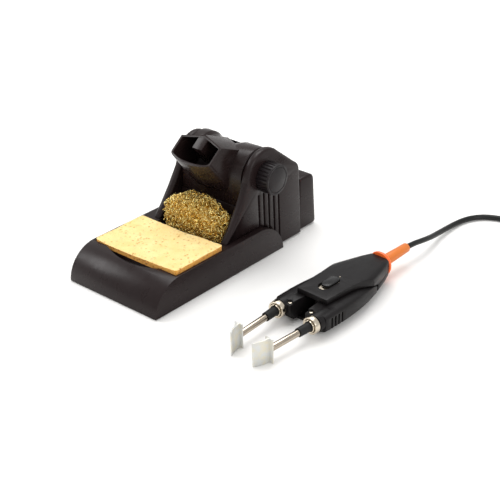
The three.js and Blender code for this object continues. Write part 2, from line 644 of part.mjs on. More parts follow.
const toe = Math.atan((ARM.barrelX - TIP.spread) / ARM.front); // tubes close in towards the tips
for (const [name, side] of [['left', -1], ['right', 1]]) {
  piece(tool, `${name}_arm`, gripArm(side), SOFT_BLACK);
  const pinTop = coverEdgeAt(ARM.pivotY) + 2;
  piece(tool, `${name}_pivot_pin`, alongZ(1.5, -BODY.floor - 0.6, pinTop, side * ARM.pivotX, ARM.pivotY, 16), STEEL);
  const screwX = side * (ARM.inner + 2.9);
  piece(tool, `${name}_arm_screw`, alongZ(1.6, 4.7, 5.5, screwX, ARM.front + 4.6, 14), NICKEL);

  const cartridge = new THREE.Group();
  cartridge.position.set(side * TIP.spread, 0, 0);
  cartridge.rotation.z = -side * toe;
  tool.add(cartridge);
  const seat = ARM.front - GAP;
  const collar = cut(
    alongY(TUBE.collarRadius - 0.3, TUBE.collarRadius, seat - TUBE.collar, seat - 0.4, 0, 0, 32),
    alongY(5.6, 5.6, seat - TUBE.collar - 1, seat + 1, 0, 0, 32),
  );
  piece(cartridge, `${name}_collar`, collar, NICKEL);
  const inner = cut(
    alongY(5.2, 5.2, seat - TUBE.collar - 1.2, seat - 0.6, 0, 0, 24),
    alongY(TUBE.sleeveRadius + GAP, TUBE.sleeveRadius + GAP, seat - 9, seat + 1, 0, 0, 24),
    block(-0.6, 0.6, seat - 8, seat - TUBE.collar + 0.6, -7, 7),
  );
  piece(cartridge, `${name}_collar_ring`, inner, NICKEL);
  const sleeve = cut(
    alongY(TUBE.sleeveRadius - 0.4, TUBE.sleeveRadius, TUBE.sleeveFront, ARM.front + 6, 0, 0, 24),
    alongY(TUBE.radius + GAP, TUBE.radius + GAP, TUBE.sleeveFront - 1, ARM.front + 7, 0, 0, 24),
  );
  piece(cartridge, `${name}_sleeve`, sleeve, SOFT_BLACK);
  const tubeFront = -TIP.flange + TIP.plate + GAP + 0.6;
  piece(cartridge, `${name}_tube`, alongY(TUBE.radius, TUBE.radius, tubeFront, ARM.front + 6, 0, 0, 20), STEEL);
  piece(cartridge, `${name}_tip`, tipBlade(side), SILVER_TIP);
}

// A bent sheet tip: a flat flange on the tube's end and a blade that curves towards the other tip.
function tipBlade(side) {
  const half = TIP.height / 2;
  const y0 = -TIP.flange + TIP.plate;
  const y1 = -TIP.flange;
  const blade = new THREE.Shape();
  blade.moveTo(0.9, y0);
  blade.lineTo(-0.6, y0);
  blade.lineTo(-0.6, y1);
  blade.quadraticCurveTo(-0.7, y1 - TIP.reach * 0.6, -TIP.inward - 0.4, y1 - TIP.reach);
  blade.lineTo(-TIP.inward + 0.7, y1 - TIP.reach);
  blade.quadraticCurveTo(0.8, y1 - TIP.reach * 0.55, 0.9, y1);
  blade.closePath();
  const sheet = upwards(blade, -half, half, { curveSegments: 5 });
  const flange = block(-3.2, 4.4, y1, y0, -half, half);
  const geometry = union(sheet, flange);
  if (side > 0) return geometry;
  return fromSolid(solid(geometry).mirror([1, 0, 0]));
}

const plateInSlot = capsule(SLIDER.slot - 0.8, SLIDER.width, 0.4);
piece(tool, 'slider_plate', plateInSlot.translate(0, slotY, slotFloor + GAP), NICKEL);
const button = capsule(SLIDER.length, SLIDER.width, 2.3).translate(0, SLIDER.y, slotFloor + 1);
piece(tool, 'slider_button', button, GLOSS_BLACK);
piece(tool, 'indicator_dot', alongZ(DOT.radius, 9.3, 11.2, 0, DOT.y, 12), NICKEL);

const ringFront = BODY.back + GAP;
const ringBack = ringFront + RELIEF.ring;
const ringProfile = [
  [0, ringFront],
  [RELIEF.ringRadius - 0.3, ringFront],
  [RELIEF.ringRadius, ringFront + 1.6],
  [RELIEF.ringRadius - 2.2, ringFront + 4.8],
  [5.4, ringBack],
  [0, ringBack],
].map(([r, y]) => new THREE.Vector2(r, y));
piece(tool, 'rear_ring', new THREE.LatheGeometry(ringProfile, 28), ORANGE);
piece(tool, 'strain_relief', alongY(RELIEF.front, RELIEF.back, ringBack + GAP, RELIEF.end, 0, 0, 24), ORANGE);

tool.position.set(TOOL.x, TOOL.y, TOOL.z);
tool.rotation.set(rad(TOOL.pitch), 0, rad(-TOOL.yaw), 'ZXY');

// ---------- cord ----------
// Route of the cord's middle from the strain relief to the coil, chosen by hand.
const route = [
  [193.06, 201.8, 15.75],
  [193.8, 212.5, 15.2],
  [194.2, 226, 13],
  [192.8, 240, 9.8],
  [190.6, 256, 6.6],
  [189, 272, 4.2],
  [189, 287, 3],
  [191.2, 300, 2.7],
  [196.6, 310.5, 2.7],
  [205, 318, 2.7],
  [216.5, 323, 2.7],
  [228.5, 328, 2.7],
  [241, 333.5, 2.7],
].map((p) => new THREE.Vector3(...p));

function cordTube(points, steps) {
  const section = new THREE.Shape();
  for (let i = 0; i < CORD.sides; i += 1) {
    const angle = (i * 2 * Math.PI) / CORD.sides;
    const method = i ? 'lineTo' : 'moveTo';
    section[method]((Math.cos(angle) * CORD.diameter) / 2, (Math.sin(angle) * CORD.diameter) / 2);
  }
  const path = new THREE.CatmullRomCurve3(points);
  return new THREE.ExtrudeGeometry(section, { steps, extrudePath: path, bevelEnabled: false });
}
piece(lead, 'cord', cordTube(route, 14), RUBBER);

// A flat coil of the rest of the cord, which the cord enters at a slant from the near side.
const COIL = { x: 250.3, y: 369.6, mean: 27.5, half: 7.7, height: 15 };
const coilSection = [
  [COIL.mean - COIL.half, GAP],
  [COIL.mean + COIL.half, GAP],
  [COIL.mean + COIL.half, COIL.height],
  [COIL.mean - COIL.half, COIL.height],
  [COIL.mean - COIL.half, GAP],
].map(([r, z]) => new THREE.Vector2(r, z));
const coilRing = new THREE.LatheGeometry(coilSection, 32).rotateX(rad(90));
piece(lead, 'cord_coil', coilRing.translate(COIL.x, COIL.y, 0), RUBBER);

// Round plug at the cord's far end, straight out of the coil's outer turn on the near side.
const PLUG = { relief: 14, body: 36, shell: 10, radius: 9, reliefRadius: 2.9 };
const outerTurn = COIL.mean + COIL.half - CORD.diameter / 2;
const clearOfCoil = COIL.mean + COIL.half + GAP;
const plug = new THREE.Group();
plug.position.set(
  COIL.x + Math.sqrt(clearOfCoil ** 2 - (outerTurn - PLUG.reliefRadius) ** 2),
  COIL.y - outerTurn,
  PLUG.radius + GAP,
);
plug.rotation.z = rad(-90);
lead.add(plug);
const plugBody = [PLUG.relief + GAP, PLUG.relief + PLUG.body];
const plugShell = [plugBody[1] + GAP, plugBody[1] + PLUG.shell];
piece(plug, 'plug_relief', alongY(PLUG.reliefRadius, 4.4, 0, PLUG.relief, 0, 0, 20), RUBBER);
piece(plug, 'plug_body', alongY(PLUG.radius - 1, PLUG.radius, ...plugBody), SOFT_BLACK);
piece(plug, 'plug_shell', alongY(7.4, 7.4, ...plugShell, 0, 0, 28), NICKEL);

// ---------- whole object, centred on its footprint ----------
const object = new THREE.Group();
object.add(stand, tool, lead);
object.updateMatrixWorld(true);
const bounds = new THREE.Box3().setFromObject(stand, true).union(new THREE.Box3().setFromObject(tool, true));
const centre = bounds.getCenter(new THREE.Vector3());
for (const group of [stand, tool, lead]) {
  group.position.x -= centre.x;
  group.position.y -= centre.y;
}

export default object;
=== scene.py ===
# Soldering tweezers and their stand: tray, sponge, brass wool, tilting holder, clamp knob, corded tweezers.
# Metres, +Z up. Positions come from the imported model; small sizes in the dictionaries are in millimetres.
import bpy
import bmesh
import json
import math
from mathutils import Matrix, Vector, noise


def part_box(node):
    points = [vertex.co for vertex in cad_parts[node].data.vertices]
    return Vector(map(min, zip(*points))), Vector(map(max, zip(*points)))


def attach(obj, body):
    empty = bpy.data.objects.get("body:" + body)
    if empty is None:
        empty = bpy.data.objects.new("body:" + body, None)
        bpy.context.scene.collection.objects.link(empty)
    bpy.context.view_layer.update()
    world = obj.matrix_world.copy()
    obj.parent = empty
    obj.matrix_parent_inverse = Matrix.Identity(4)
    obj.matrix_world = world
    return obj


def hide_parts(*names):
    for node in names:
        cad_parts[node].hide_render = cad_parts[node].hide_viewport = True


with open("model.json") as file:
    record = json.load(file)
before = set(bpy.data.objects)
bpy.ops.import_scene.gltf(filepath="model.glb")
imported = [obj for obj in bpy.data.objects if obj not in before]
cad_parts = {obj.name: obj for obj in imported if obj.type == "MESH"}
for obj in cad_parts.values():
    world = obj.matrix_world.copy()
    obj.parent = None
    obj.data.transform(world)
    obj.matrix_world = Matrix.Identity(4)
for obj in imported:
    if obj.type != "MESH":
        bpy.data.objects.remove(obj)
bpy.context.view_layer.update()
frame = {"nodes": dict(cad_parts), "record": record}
nodes = frame["nodes"]
mm = 0.001


# ---- frame of the stand ----
trayLow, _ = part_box("base_tray")
standOrigin = Vector((trayLow.x, trayLow.y, 0))          # front left corner of the tray, on the table


def inStand(x, y, z):
    return standOrigin + Vector((x, y, z)) * mm


# ---- camera ----
camera = {"azimuth": 40.24, "elevation": 28.39, "distance": 1029.2, "lens": 86.29, "sensor": 36,
          "aim": (77.7, 135.5, 0), "nearest": 0.05, "farthest": 30}


def placeCamera():
    a, e = math.radians(camera["azimuth"]), math.radians(camera["elevation"])
    away = Vector((math.sin(a) * math.cos(e), -math.cos(a) * math.cos(e), math.sin(e)))
    data = bpy.data.cameras.new("viewCamera")
    data.sensor_width = camera["sensor"]
    data.lens = camera["lens"]
    data.clip_start, data.clip_end = camera["nearest"], camera["farthest"]
    obj = bpy.data.objects.new("viewCamera", data)
    obj.rotation_mode = "QUATERNION"
    obj.location = inStand(*camera["aim"]) + away * camera["distance"] * mm
    obj.rotation_quaternion = (-away).to_track_quat("-Z", "Y")
    bpy.context.scene.collection.objects.link(obj)
    bpy.context.scene.camera = obj


placeCamera()
print("camera placed")


# ---- mesh helpers ----
def linearColour(hexCode, alpha=1.0):
    out = []
    for i in (0, 2, 4):
        v = int(hexCode[i:i + 2], 16) / 255
        out.append(v / 12.92 if v <= 0.04045 else ((v + 0.055) / 1.055) ** 2.4)
    return (*out, alpha)


def newObject(name, mesh, material=None):
    obj = bpy.data.objects.new(name, mesh)
    bpy.context.scene.collection.objects.link(obj)
    if material:
        mesh.materials.clear()
        mesh.materials.append(material)
    return obj


def meshFrom(name, verts, faces):
    mesh = bpy.data.meshes.new(name)
    mesh.from_pydata([tuple(v) for v in verts], [], faces)
    mesh.validate()
    return mesh


def smoothByAngle(mesh, degrees):
    mesh.polygons.foreach_set("use_smooth", [True] * len(mesh.polygons))
    mesh.set_sharp_from_angle(angle=math.radians(degrees))


def bakeModifiers(obj):
    # turns the object with its modifiers into a plain mesh
    graph = bpy.context.evaluated_depsgraph_get()
    mesh = bpy.data.meshes.new_from_object(obj.evaluated_get(graph))
    old = obj.data
    obj.modifiers.clear()
    obj.data = mesh
    if old.users == 0 and isinstance(old, bpy.types.Mesh):
        bpy.data.meshes.remove(old)
    return obj


mergeWithin = 2e-6       # metres
flatWithin = 0.6         # degrees


def cleanCopy(node):
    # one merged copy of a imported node, with its flat areas as single faces
    mesh = nodes[node].data.copy()
    bm = bmesh.new()
    bm.from_mesh(mesh)
    bmesh.ops.remove_doubles(bm, verts=bm.verts, dist=mergeWithin)
    bmesh.ops.dissolve_degenerate(bm, dist=mergeWithin, edges=bm.edges)
    bmesh.ops.dissolve_limit(bm, angle_limit=math.radians(flatWithin), verts=bm.verts, edges=bm.edges)
    bm.to_mesh(mesh)
    bm.free()
    return mesh


def softEdged(node, name, material, edge, corner=32, steps=2, smooth=34):
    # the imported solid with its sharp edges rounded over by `edge` millimetres
    obj = newObject(name, cleanCopy(node), material)
    bevel = obj.modifiers.new("edges", "BEVEL")
    bevel.width = edge * mm
    bevel.segments = steps
    bevel.limit_method = "ANGLE"
    bevel.angle_limit = math.radians(corner)
    bevel.use_clamp_overlap = True
    bevel.miter_outer = "MITER_ARC"
    bakeModifiers(obj)
    smoothByAngle(obj.data, smooth)
    return standsFor(obj, node)


def bodyOf(node):
    for body, members in frame["record"]["behaviour"]["bodies"].items():
        if node in members:
            return body


def standsFor(obj, *packed):
    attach(obj, bodyOf(packed[0]))
    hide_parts(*packed)
    return obj


# ---- cord ----
cord = {
    "diameter": 4.8,
    "coilCentre": (250.3, 369.6), "columns": (32.3, 27.5, 22.7), "layers": (2.75, 7.55, 12.35),
    "entryAngle": -75, "leaveAngle": -92, "wholeTurns": 7, "shift": 84, "stepsPerTurn": 24,
    "tailRun": 9, "tailDrop": 1.4, "pointSpacing": 6.2,
}
# middle of the cord from the strain relief to the coil
cordRoute = [
    (193.06, 201.8, 15.75), (193.8, 212.5, 15.2), (194.2, 226, 13), (192.8, 240, 9.8), (190.6, 256, 6.6),
    (189, 272, 4.2), (189, 287, 3), (191.2, 300, 2.7), (196.6, 310.5, 2.7), (205, 318, 2.7),
    (216.5, 323, 2.7), (228.5, 328, 2.7), (241, 333.5, 2.7),
]


def easeInOut(t):
    t = min(1.0, max(0.0, t))
    return t * t * (3 - 2 * t)


def coilPoints(turns):
    # three columns in each layer; each turn runs level and then shifts to the next column or layer
    cx, cy = cord["coilCentre"]
    count = len(cord["columns"])
    points = []
    total = int(turns * cord["stepsPerTurn"])
    for i in range(total + 1):
        turn = i / cord["stepsPerTurn"]
        whole = int(turn)
        layer, place = divmod(whole, count)
        order = list(cord["columns"]) if layer % 2 == 0 else list(reversed(cord["columns"]))
        r, z = order[place], cord["layers"][layer]
        nextLayer, nextPlace = divmod(whole + 1, count)
        nextOrder = list(cord["columns"]) if nextLayer % 2 == 0 else list(reversed(cord["columns"]))
        share = easeInOut(((turn - whole) * 360 - (360 - cord["shift"])) / cord["shift"])
        if nextLayer < len(cord["layers"]):
            r += (nextOrder[nextPlace] - r) * share
            z += (cord["layers"][nextLayer] - z) * share
        a = math.radians(cord["entryAngle"] + turn * 360)
        points.append((cx + r * math.cos(a), cy + r * math.sin(a), z))
    return points


def smoothThrough(points, each):
    # points about `each` millimetres apart on a smooth curve through the given ones
    out = []
    for i in range(len(points) - 1):
        p0, p1, p2, p3 = (Vector(points[max(0, min(len(points) - 1, i + k))]) for k in (-1, 0, 1, 2))
        n = max(1, round((p2 - p1).length / each))
        for s in range(n):
            t = s / n
            out.append(0.5 * ((2 * p1) + (p2 - p0) * t + (2 * p0 - 5 * p1 + 4 * p2 - p3) * t * t
                              + (3 * p1 - p0 - 3 * p2 + p3) * t ** 3))
    out.append(Vector(points[-1]))
    return out


def wholeCordLine():
    # from the strain relief, through the coil, into the plug's relief
    turns = cord["wholeTurns"] + (cord["leaveAngle"] - cord["entryAngle"]) / 360
    coil = coilPoints(turns)
    low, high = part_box("plug_relief")
    end = low - standOrigin
    middle = (low + high) / 2 - standOrigin
    tail = [(end.x / mm - cord["tailRun"], middle.y / mm + 0.1, cord["layers"][2] - cord["tailDrop"]),
            (end.x / mm + 0.5, middle.y / mm, middle.z / mm)]
    return smoothThrough(cordRoute + coil + tail, cord["pointSpacing"])


cordLine = wholeCordLine()
print("cord length", round(sum((b - a).length for a, b in zip(cordLine, cordLine[1:]))))


# ---- materials ----
def startMaterial(name):
    mat = bpy.data.materials.new(name)
    mat.use_nodes = True
    tree = mat.node_tree
    return mat, tree, tree.nodes["Principled BSDF"]


def add(tree, kind, inputs=None, **settings):
    # one node; inputs hold values or the sockets they come from
    node = tree.nodes.new(kind)
    for key, value in settings.items():
        setattr(node, key, value)
    for key, value in (inputs or {}).items():
        if isinstance(value, bpy.types.NodeSocket):
            tree.links.new(value, node.inputs[key])
        else:
            node.inputs[key].default_value = value
    return node


def objectPoint(tree, turn=(0, 0, 0), scale=(1, 1, 1)):
    point = add(tree, "ShaderNodeTexCoord").outputs["Object"]
    return add(tree, "ShaderNodeMapping", {"Vector": point, "Rotation": turn, "Scale": scale}).outputs["Vector"]


def grain(tree, vector, size, detail=3.0, rough=0.55):
    # noise whose features are about `size` millimetres across
    return add(tree, "ShaderNodeTexNoise", {"Vector": vector, "Scale": 1 / (size * mm), "Detail": detail,
                                            "Roughness": rough}).outputs["Fac"]


def spread(tree, value, low, high, fromLow=0.0, fromHigh=1.0):
    return add(tree, "ShaderNodeMapRange", {"Value": value, "From Min": fromLow, "From Max": fromHigh,
                                            "To Min": low, "To Max": high}).outputs["Result"]


def between(tree, factor, first, second):
    node = add(tree, "ShaderNodeMix", data_type="RGBA")
    tree.links.new(factor, node.inputs["Factor"])
    for key, colour in (("A", first), ("B", second)):
        socket = [s for s in node.inputs if s.name == key and s.type == "RGBA"][0]
        if isinstance(colour, bpy.types.NodeSocket):
            tree.links.new(colour, socket)
        else:
            socket.default_value = colour
    return [s for s in node.outputs if s.type == "RGBA"][0]


def raised(tree, shader, height, strength, depth):
    bump = add(tree, "ShaderNodeBump", {"Height": height, "Strength": strength, "Distance": depth * mm})
    tree.links.new(bump.outputs["Normal"], shader.inputs["Normal"])
    return bump


def mouldedPlastic(name, dark, light, roughness, grainSize, depth, sheen=0.5):
    # injection-moulded plastic: fine spark-eroded grain, faint handling marks in the gloss
    mat, tree, shader = startMaterial(name)
    point = objectPoint(tree)
    fine = grain(tree, point, grainSize, 2.0)
    cloudy = grain(tree, point, 22, 4.0)
    smears = grain(tree, objectPoint(tree, scale=(1, 0.4, 1)), 9, 5.0, 0.65)
    colour = between(tree, cloudy, linearColour(dark), linearColour(light))
    gloss = spread(tree, smears, roughness - 0.07, roughness + 0.09, 0.3, 0.7)
    tree.links.new(colour, shader.inputs["Base Color"])
    tree.links.new(gloss, shader.inputs["Roughness"])
    shader.inputs["Specular IOR Level"].default_value = sheen
    raised(tree, shader, fine, 0.35, depth)
    return mat


def drawnMetal(name, colour, tint, roughness, along="Y", streak=0.25):
    # drawn or turned metal: fine streaks round or along the piece, slightly uneven tint
    mat, tree, shader = startMaterial(name)
    stretch = {"X": (0.04, 1, 1), "Y": (1, 0.04, 1), "Z": (1, 1, 0.04)}[along]
    lines = grain(tree, objectPoint(tree, scale=stretch), 0.5, 3.0)
    cloudy = grain(tree, objectPoint(tree), 7, 4.0)
    mixed = between(tree, cloudy, linearColour(colour), linearColour(tint))
    tree.links.new(mixed, shader.inputs["Base Color"])
    tree.links.new(spread(tree, lines, roughness - 0.06, roughness + 0.1), shader.inputs["Roughness"])
    shader.inputs["Metallic"].default_value = 1
    raised(tree, shader, lines, streak, 0.02)
    return mat


blackAbs = mouldedPlastic("blackMouldedAbs", "1c1414", "261c1c", 0.3, 0.55, 0.02, 0.2)
drumAbs = mouldedPlastic("blackDrumAbs", "1c1413", "261b1a", 0.26, 0.5, 0.02, 0.24)
softBlack = mouldedPlastic("softTouchBlack", "0f0d0d", "161314", 0.42, 0.4, 0.025, 0.18)
glossBlack = mouldedPlastic("glossBlackButton", "070607", "0b0a0b", 0.2, 0.8, 0.01, 0.35)
knobBlack = mouldedPlastic("blackPhenolicKnob", "181415", "201b1d", 0.38, 0.5, 0.03, 0.22)
blackRubber = mouldedPlastic("blackRubber", "0d0d0d", "141414", 0.6, 0.45, 0.05, 0.3)
cordSheath = mouldedPlastic("blackCordSheath", "0e0f0f", "151716", 0.4, 0.6, 0.03, 0.28)
ringOrange = mouldedPlastic("orangeAbsRing", "f0631f", "f56d2b", 0.4, 0.5, 0.03)
orangePlastic = mouldedPlastic("orangeThermoplastic", "cf6a20", "d97a2c", 0.45, 0.5, 0.03)
plainSteel = drawnMetal("zincPlatedSteel", "a9a8a4", "bdbab2", 0.34, "X")
tubeSteel = drawnMetal("drawnStainlessTube", "a3988a", "bdb2a2", 0.18, "Y")
nickel = drawnMetal("brightNickel", "c9bda9", "dcd2c2", 0.2, "Z", 0.15)
turnedBrass = drawnMetal("turnedBrass", "b08a3a", "c9a24c", 0.3, "X")
grayIron = drawnMetal("castIronBare", "4b4a4a", "5a5856", 0.6, "Z", 0.5)


def bladeSilver():
    # plated blade, bright, with random patches yellowed by heat and flux
    mat, tree, shader = startMaterial("platedBladeSilver")
    point = objectPoint(tree)
    cloudy = grain(tree, point, 5, 5.0, 0.6)
    scratches = grain(tree, objectPoint(tree, scale=(1, 0.08, 1)), 0.6, 3.0)
    stained = spread(tree, cloudy, 0, 1, 0.42, 0.68)
    colour = between(tree, stained, linearColour("d2d3d1"), linearColour("d8d2be"))
    tree.links.new(colour, shader.inputs["Base Color"])
    tree.links.new(spread(tree, scratches, 0.34, 0.55), shader.inputs["Roughness"])
    shader.inputs["Metallic"].default_value = 0.55
    raised(tree, shader, scratches, 0.3, 0.03)
    return mat


def spongeCellulose():
    # damp-dried cellulose: pale skin; the open pores darkened as painted shade, and the cut sides a darker orange
    # as painted shade
    mat, tree, shader = startMaterial("celluloseSponge")
    point = objectPoint(tree)
    pores = add(tree, "ShaderNodeTexVoronoi", {"Vector": point, "Scale": 1 / (3.4 * mm), "Randomness": 1.0})
    small = add(tree, "ShaderNodeTexVoronoi", {"Vector": point, "Scale": 1 / (1.3 * mm), "Randomness": 1.0})
    cloudy = grain(tree, point, 16, 4.0)
    # mask of the pad's side faces, which get painted shade
    edge = add(tree, "ShaderNodeAttribute", attribute_name="shadedSides").outputs["Fac"]
    skin = between(tree, spread(tree, cloudy, 0, 1, 0.35, 0.65), linearColour("f2d896"), linearColour("eccb84"))
    # pore marks: colour darkened in the pore hollows, painted shade
    largePoreShade = spread(tree, pores.outputs["Distance"], 1, 0, 0.12, 0.34)
    smallPoreShade = spread(tree, small.outputs["Distance"], 0.7, 0, 0.1, 0.3)
    poreShade = add(tree, "ShaderNodeMath", {0: largePoreShade, 1: smallPoreShade}, operation="MAXIMUM").outputs[0]
    patchy = spread(tree, grain(tree, point, 6, 3.0), 0, 1, 0.4, 0.54)
    shown = add(tree, "ShaderNodeMath", {0: poreShade, 1: patchy}, operation="MULTIPLY").outputs[0]
    marked = add(tree, "ShaderNodeMath", {0: shown, 1: 0.85}, operation="MULTIPLY").outputs[0]
    # top skin darkened towards brown in the pores: painted shade
    top = between(tree, marked, skin, linearColour("bd8630"))
    # side faces a darker orange than the top: painted shade on the sides, with the pore shade mixed in
    side = between(tree, poreShade, linearColour("e6a548"), linearColour("b9701f"))
    tree.links.new(between(tree, edge, top, side), shader.inputs["Base Color"])
    shader.inputs["Roughness"].default_value = 0.92
    shader.inputs["Subsurface Weight"].default_value = 0.12
    shader.inputs["Subsurface Radius"].default_value = (0.004, 0.0025, 0.001)
    shader.inputs["Sheen Weight"].default_value = 0.15
    depth = add(tree, "ShaderNodeMath", {0: shown, 1: -1.0}, operation="MULTIPLY").outputs[0]
    raised(tree, shader, depth, 0.8, 0.6)
    return mat


def woolBrass():
    # curled brass shavings, each strand a little different in tone; the pale and dark ends of the mix are painted
    # highlight and painted shade
    mat, tree, shader = startMaterial("brassShavings")
    point = objectPoint(tree)
    tone = add(tree, "ShaderNodeTexNoise", {"Vector": point, "Scale": 420.0, "Detail": 2.0}).outputs["Fac"]
    toneAndSheen = spread(tree, tone, 0, 1, 0.35, 0.65)
    # random tone per strand, stretched to a near-white painted highlight and a dark gold painted shade
    colour = between(tree, toneAndSheen, linearColour("cf9a2c"), linearColour("fff2a8"))
    tree.links.new(colour, shader.inputs["Base Color"])
    shader.inputs["Metallic"].default_value = 0.88
    shader.inputs["Roughness"].default_value = 0.2
    return mat


sponge = spongeCellulose()
wool = woolBrass()
blade = bladeSilver()
print("materials made")


# ---- stand ----
standEdges = {   # node: (piece, material, edge rounding)
    "base_tray": ("trayShell", blackAbs, 0.7),
    "left_cheek": ("leftCheek", blackAbs, 0.35),
    "right_cheek": ("rightCheek", blackAbs, 0.35),
    "housing_back": ("housingShell", blackAbs, 0.5),
    "front_panel": ("wellBackWall", blackAbs, 0.5),
    "rear_box": ("rearBox", blackAbs, 0.45),
    "tool_holder": ("tiltHolder", drumAbs, 0.55),
    "clamp_knob": ("clampKnob", knobBlack, 0.22),
    "knob_cap": ("knobFace", knobBlack, 0.2),
    "clamp_bolt": ("clampBolt", plainSteel, 0.5),
    "knob_insert": ("knobInsert", turnedBrass, 0.2),
    "ballast_weight": ("ballast", grayIron, 0.8),
    "base_plate": ("basePlate", plainSteel, 0.2),
    "left_washer": ("leftWasher", plainSteel, 0.12),
    "right_washer": ("rightWasher", plainSteel, 0.12),
    "foot_front_left": ("footFrontLeft", blackRubber, 0.15),
    "foot_front_right": ("footFrontRight", blackRubber, 0.15),
    "foot_rear_left": ("footRearLeft", blackRubber, 0.15),
    "foot_rear_right": ("footRearRight", blackRubber, 0.15),
}
for node, (name, material, edge) in standEdges.items():
    softEdged(node, name, material, edge)
print("stand made")


# ---- sponge ----
spongePad = {
    "cellsAcross": 84, "cellsAlong": 52, "cellsUp": 5,
    "corner": 2.4, "leftTop": 30.2, "rightTop": 32.2,        # top heights at the two ends
    "wave": 0.7, "ripple": 0.22, "edgeWave": 0.35,           # slow, fast, and along the cut sides
    "droop": 2.0, "bow": 2.4,                                # front edge hangs, back edge curves in
    "rollWidth": 1.6, "rollDepth": 0.55, "fill": 0.9, "seed": 11.3,
}


def makeSponge():
    low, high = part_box("sponge")
    size = high - low
    nx, ny, nz = spongePad["cellsAcross"], spongePad["cellsAlong"], spongePad["cellsUp"]
    bm = bmesh.new()
    # the side faces are flagged for the painted shade of the sponge material
    shadedSideLayer = bm.faces.layers.float.new("shadedSides")
    grid = {}

    def vertexAt(i, j, k):
        key = (i, j, k)
        if key not in grid:
            u, v, w = i / nx, j / ny, k / nz
            p = Vector((low.x + size.x * u, low.y + size.y * v, 0))
            p.y -= spongePad["bow"] * mm * math.sin(math.pi * u) ** 2 * v ** 5
            # round corners in plan
            r = spongePad["corner"] * mm
            cx = min(max(p.x, low.x + r), high.x - r)
            cy = min(max(p.y, low.y + r), high.y - r)
            out = Vector((p.x - cx, p.y - cy, 0))
            if out.length > r:
                out *= r / out.length
                p = Vector((cx + out.x, cy + out.y, 0))
            seed = spongePad["seed"]
            rise = spongePad["rightTop"] - spongePad["leftTop"]
            top = (spongePad["leftTop"] + rise * easeInOut(u * 1.1)) * mm
            top += spongePad["wave"] * mm * noise.noise(Vector((u * 4.2, v * 3.1, seed)))
            top += spongePad["ripple"] * mm * noise.noise(Vector((u * 24, v * 15, seed + 4)))
            top -= spongePad["droop"] * mm * (1 - v) ** 6 * math.sin(math.pi * u)
            near = min(u, 1 - u) * size.x, min(v, 1 - v) * size.y
            roll = min(1, min(near) / (spongePad["rollWidth"] * mm))
            top -= spongePad["rollDepth"] * mm * (1 - roll) ** 2
            z = low.z + (top - low.z) * w
            ragged = noise.noise(Vector((p.x * 420, p.y * 420, w * 2.2 + seed)))
            inward = spongePad["edgeWave"] * mm * (0.6 + ragged)
            inward *= math.sin(math.pi * min(1, max(0, w)) * 0.9 + 0.15)
            p.x += inward * (1 if u == 0 else -1 if u == 1 else 0)
            p.y += inward * (1 if v == 0 else -1 if v == 1 else 0)
            grid[key] = bm.verts.new((p.x, p.y, z))
        return grid[key]

    def face(keys, shadedSide):
        corners = []
        for k in keys:
            v = vertexAt(*k)
            if v not in corners:
                corners.append(v)
        if len(corners) > 2:
            f = bm.faces.new(corners)
            f[shadedSideLayer] = shadedSide

    for i in range(nx):
        for j in range(ny):
            face([(i, j, nz), (i + 1, j, nz), (i + 1, j + 1, nz), (i, j + 1, nz)], 0)
            face([(i, j, 0), (i, j + 1, 0), (i + 1, j + 1, 0), (i + 1, j, 0)], 0)
    for k in range(nz):
        for i in range(nx):
            face([(i, 0, k), (i + 1, 0, k), (i + 1, 0, k + 1), (i, 0, k + 1)], 1)
            face([(i + 1, ny, k), (i, ny, k), (i, ny, k + 1), (i + 1, ny, k + 1)], 1)
        for j in range(ny):
            face([(0, j + 1, k), (0, j, k), (0, j, k + 1), (0, j + 1, k + 1)], 1)
            face([(nx, j, k), (nx, j + 1, k), (nx, j + 1, k + 1), (nx, j, k + 1)], 1)
    mesh = bpy.data.meshes.new("wipingSponge")
    bmesh.ops.recalc_face_normals(bm, faces=bm.faces)
    bm.to_mesh(mesh)
    bm.free()
    smoothByAngle(mesh, 50)
    obj = newObject("wipingSponge", mesh, sponge)
    standsFor(obj, "sponge")


makeSponge()
print("sponge made")


# ---- brass wool ----
brassWool = {
    "curls": 980, "curlRadius": 2.8, "rise": 6.5, "turns": 1.7, "stepsEach": 14,
    "ribbonWidth": 0.55, "ribbonThick": 0.14, "inset": 2.4, "seed": 7,
    "squareness": 0.55, "lump": 1.3, "leftInset": 2, "coreScale": 0.86,
    "lowest": 0.6, "humps": ((0.25, 0.33, 0.09), (0.3, 0.6, 0.13)),   # height, place across, width
    "rightFall": 0.08, "rightFallFrom": 0.78, "unevenness": 0.07,
}


def moundMesh():
    # lumpy mound inside the wool's box, with two humps and lower ends
    low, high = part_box("brass_wool")
    bm = bmesh.new()
    bmesh.ops.create_icosphere(bm, subdivisions=5, radius=1)
    centre, half = (low + high) / 2, (high - low) / 2
    inset = brassWool["inset"] * mm
    for v in bm.verts:
        p = v.co.copy()
        p = Vector([math.copysign(abs(c) ** brassWool["squareness"], c) for c in p])
        p = Vector([p[i] * (half[i] - inset) for i in range(3)])
        across = (p.x + half.x) / (2 * half.x)
        if p.z > 0:
            hump = brassWool["lowest"]
            for height, place, width in brassWool["humps"]:
                hump += height * math.exp(-((across - place) / width) ** 2)
            hump -= brassWool["rightFall"] * easeInOut((across - brassWool["rightFallFrom"]) * 4.5)
            hump += brassWool["unevenness"] * noise.noise(Vector((across * 5, p.y * 60, 3.1)))
            p.z *= hump
        p += p.normalized() * brassWool["lump"] * mm * noise.noise(p * 170)
        p.x += brassWool["leftInset"] * mm * (1 - across) ** 2
        v.co = centre + p
    mesh = bpy.data.meshes.new("woolMound")
    bm.to_mesh(mesh)
    bm.free()
    return mesh


